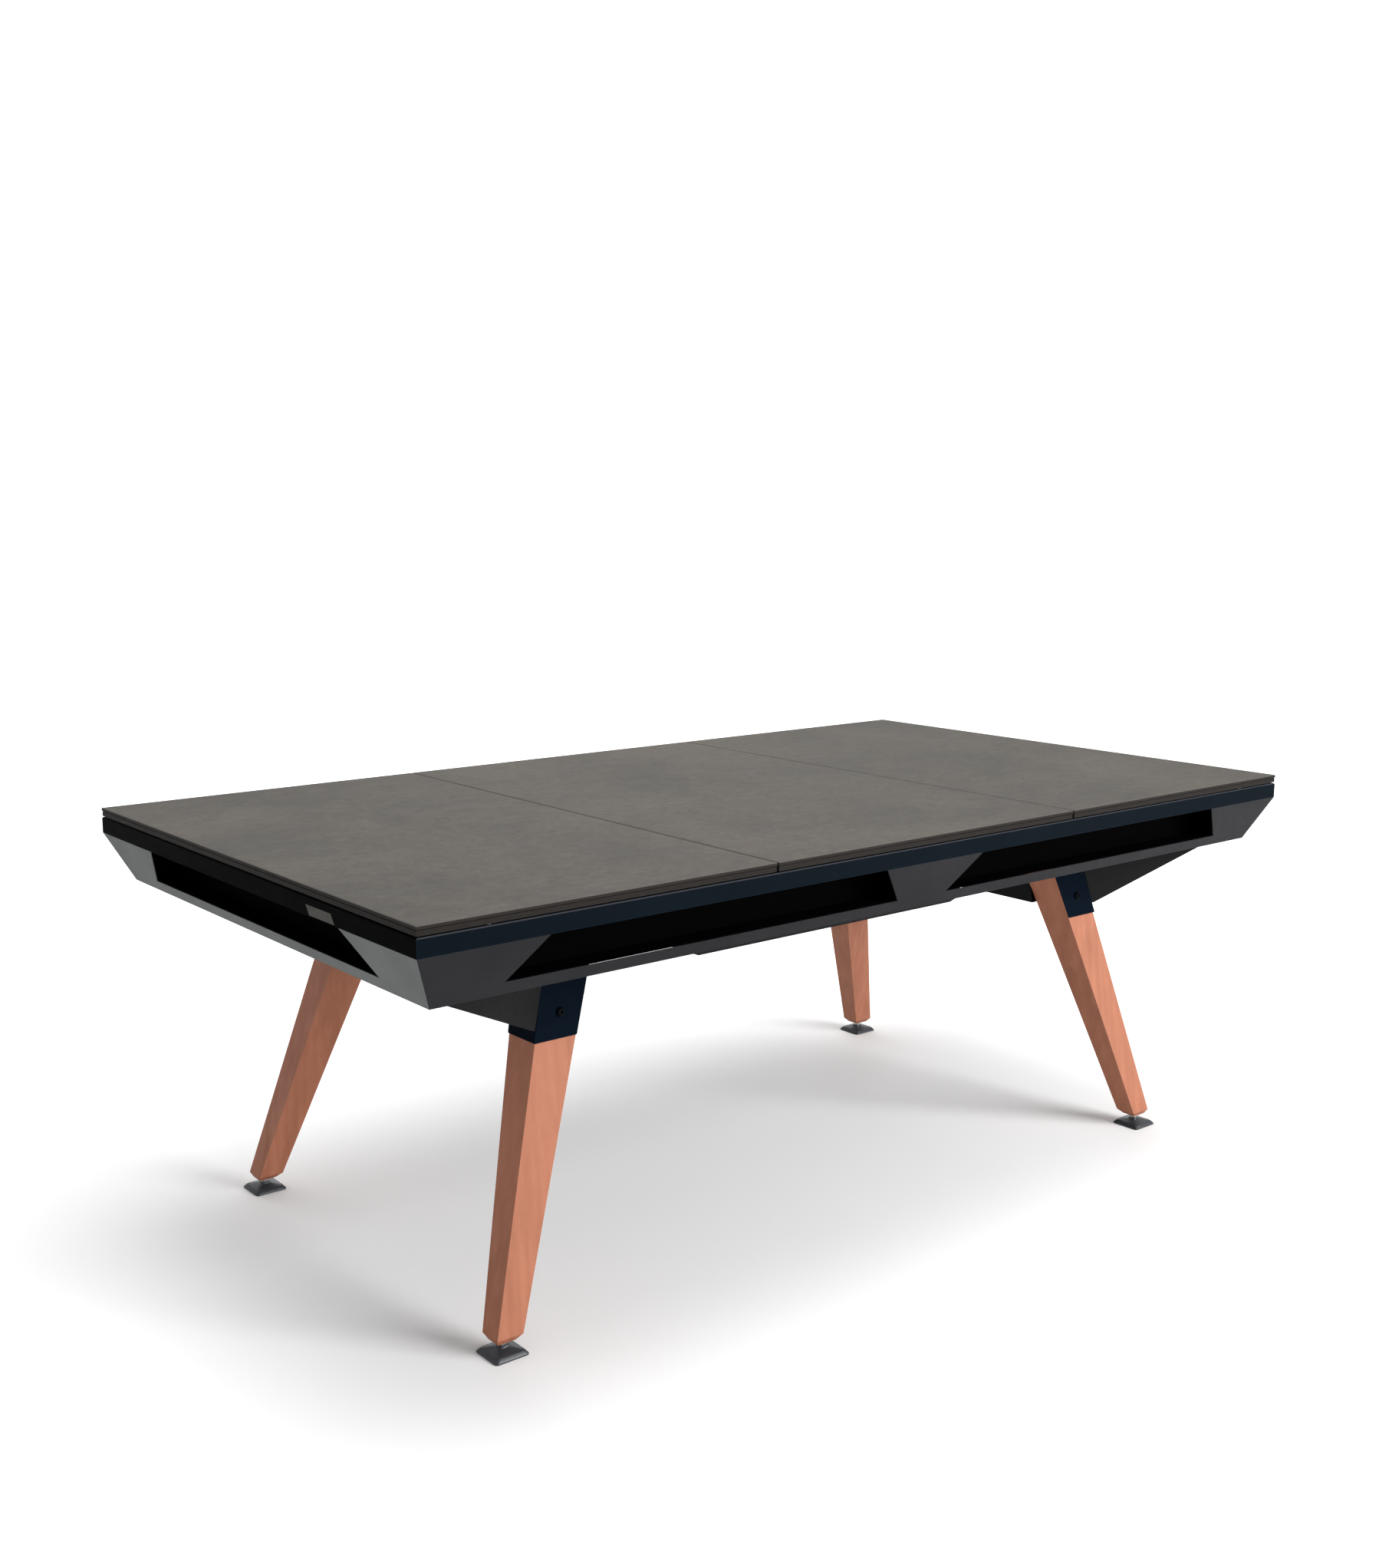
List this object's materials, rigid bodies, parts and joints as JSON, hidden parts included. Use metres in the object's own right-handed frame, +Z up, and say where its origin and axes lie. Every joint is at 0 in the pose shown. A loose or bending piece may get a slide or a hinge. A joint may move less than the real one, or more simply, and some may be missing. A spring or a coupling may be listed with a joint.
{
  "type": "pool table",
  "caption": "Convertible pool table: lift-off ceramic covers over a cloth bed, sloping aprons with ball niches, splayed tapered wooden legs on levelling feet.",
  "frame": {"origin": "on the floor under the middle of the table", "axes": "+X along the table to the right, +Y across it to the back, +Z up; the badge plate is on the -X end"},
  "size_m": [2.15, 1.2, 0.79],
  "materials": {
    "ceramic_plate": "matte stone-grey with faint clouding",
    "cover_board": "matte dark brown-grey",
    "bumper_rubber": "matte light grey",
    "slate": "honed",
    "bed_cloth": "napped wool-look cloth",
    "rail_paint": "satin powder coat, blue-black",
    "badge_metal": "brushed, blank",
    "cushion_cloth": "napped wool-look cloth over rubber",
    "apron_paint": "fine-texture powder coat, mid grey",
    "moulded_plastic": "matte black",
    "chassis_steel": "satin black powder coat",
    "console_steel": "satin powder coat, dark",
    "leg_wood": "oiled, straight grain along the leg",
    "bracket_paint": "satin powder coat, blue-black",
    "stud_steel": "zinc-plated thread",
    "pad_plastic": "moulded charcoal nylon",
    "bolt_black": "black oxide",
    "insert_brass": "turned"
  },
  "bodies": {
    "table": {"bed_slate": "slate", "bed_cloth": "bed_cloth", "rail_front": "rail_paint", "rail_back": "rail_paint", "rail_left": "rail_paint", "rail_right": "rail_paint", "badge_plate": "badge_metal", "cushion_front_left": "cushion_cloth", "cushion_front_right": "cushion_cloth", "cushion_back_left": "cushion_cloth", "cushion_back_right": "cushion_cloth", "cushion_left": "cushion_cloth", "cushion_right": "cushion_cloth", "apron_front": "apron_paint", "apron_back": "apron_paint", "apron_left": "apron_paint", "apron_right": "apron_paint", "return_tray_front_left": "moulded_plastic", "corner_cup_front_left": "moulded_plastic", "return_tray_front_right": "moulded_plastic", "corner_cup_front_right": "moulded_plastic", "return_tray_back_left": "moulded_plastic", "corner_cup_back_left": "moulded_plastic", "return_tray_back_right": "moulded_plastic", "corner_cup_back_right": "moulded_plastic", "cushion_strips": "chassis_steel", "side_cups": "moulded_plastic", "end_trays": "moulded_plastic", "chassis_frame": "chassis_steel", "outriggers": "chassis_steel", "belly_pan": "chassis_steel", "console_left": "console_steel", "console_right": "console_steel", "leg_front_left": "leg_wood", "leg_bracket_front_left": "bracket_paint", "leg_front_right": "leg_wood", "leg_bracket_front_right": "bracket_paint", "leg_back_left": "leg_wood", "leg_bracket_back_left": "bracket_paint", "leg_back_right": "leg_wood", "leg_bracket_back_right": "bracket_paint", "leg_bolts": "bolt_black", "leg_inserts": "insert_brass"},
    "cover_left": {"cover_plate_left": "ceramic_plate", "cover_board_left": "cover_board", "cover_pads_left": "bumper_rubber"},
    "cover_middle": {"cover_plate_middle": "ceramic_plate", "cover_board_middle": "cover_board", "cover_pads_middle": "bumper_rubber"},
    "cover_right": {"cover_plate_right": "ceramic_plate", "cover_board_right": "cover_board", "cover_pads_right": "bumper_rubber"},
    "foot_front_left": {"level_pad_front_left": "pad_plastic"},
    "stud_front_left": {"level_stud_front_left": "stud_steel"},
    "foot_front_right": {"level_pad_front_right": "pad_plastic"},
    "stud_front_right": {"level_stud_front_right": "stud_steel"},
    "foot_back_left": {"level_pad_back_left": "pad_plastic"},
    "stud_back_left": {"level_stud_back_left": "stud_steel"},
    "foot_back_right": {"level_pad_back_right": "pad_plastic"},
    "stud_back_right": {"level_stud_back_right": "stud_steel"}
  },
  "joints": [
    {"name": "cover_left_lift", "type": "slide", "parent": "table", "child": "cover_left", "axis": [0, 0, 1], "range_m": [0, 0.3]},
    {"name": "cover_middle_lift", "type": "slide", "parent": "table", "child": "cover_middle", "axis": [0, 0, 1], "range_m": [0, 0.3]},
    {"name": "cover_right_lift", "type": "slide", "parent": "table", "child": "cover_right", "axis": [0, 0, 1], "range_m": [0, 0.3]},
    {"name": "foot_front_left_extend", "type": "slide", "parent": "table", "child": "foot_front_left", "axis": [0, 0, -1], "range_m": [0, 0.018]},
    {"name": "stud_front_left_turn", "type": "hinge", "parent": "foot_front_left", "child": "stud_front_left", "pos_m": [-0.841, -0.441, 0.03], "axis": [0, 0, -1], "range_deg": [0, 4321]},
    {"name": "foot_front_right_extend", "type": "slide", "parent": "table", "child": "foot_front_right", "axis": [0, 0, -1], "range_m": [0, 0.018]},
    {"name": "stud_front_right_turn", "type": "hinge", "parent": "foot_front_right", "child": "stud_front_right", "pos_m": [0.841, -0.441, 0.03], "axis": [0, 0, -1], "range_deg": [0, 4321]},
    {"name": "foot_back_left_extend", "type": "slide", "parent": "table", "child": "foot_back_left", "axis": [0, 0, -1], "range_m": [0, 0.018]},
    {"name": "stud_back_left_turn", "type": "hinge", "parent": "foot_back_left", "child": "stud_back_left", "pos_m": [-0.841, 0.441, 0.03], "axis": [0, 0, -1], "range_deg": [0, 4321]},
    {"name": "foot_back_right_extend", "type": "slide", "parent": "table", "child": "foot_back_right", "axis": [0, 0, -1], "range_m": [0, 0.018]},
    {"name": "stud_back_right_turn", "type": "hinge", "parent": "foot_back_right", "child": "stud_back_right", "pos_m": [0.841, 0.441, 0.03], "axis": [0, 0, -1], "range_deg": [0, 4321]}
  ],
  "couplings": [
    {"joint": "stud_front_left_turn", "follows": "foot_front_left_extend", "rad_per_m": 4188.8},
    {"joint": "stud_front_right_turn", "follows": "foot_front_right_extend", "rad_per_m": 4188.8},
    {"joint": "stud_back_left_turn", "follows": "foot_back_left_extend", "rad_per_m": 4188.8},
    {"joint": "stud_back_right_turn", "follows": "foot_back_right_extend", "rad_per_m": 4188.8}
  ]
}
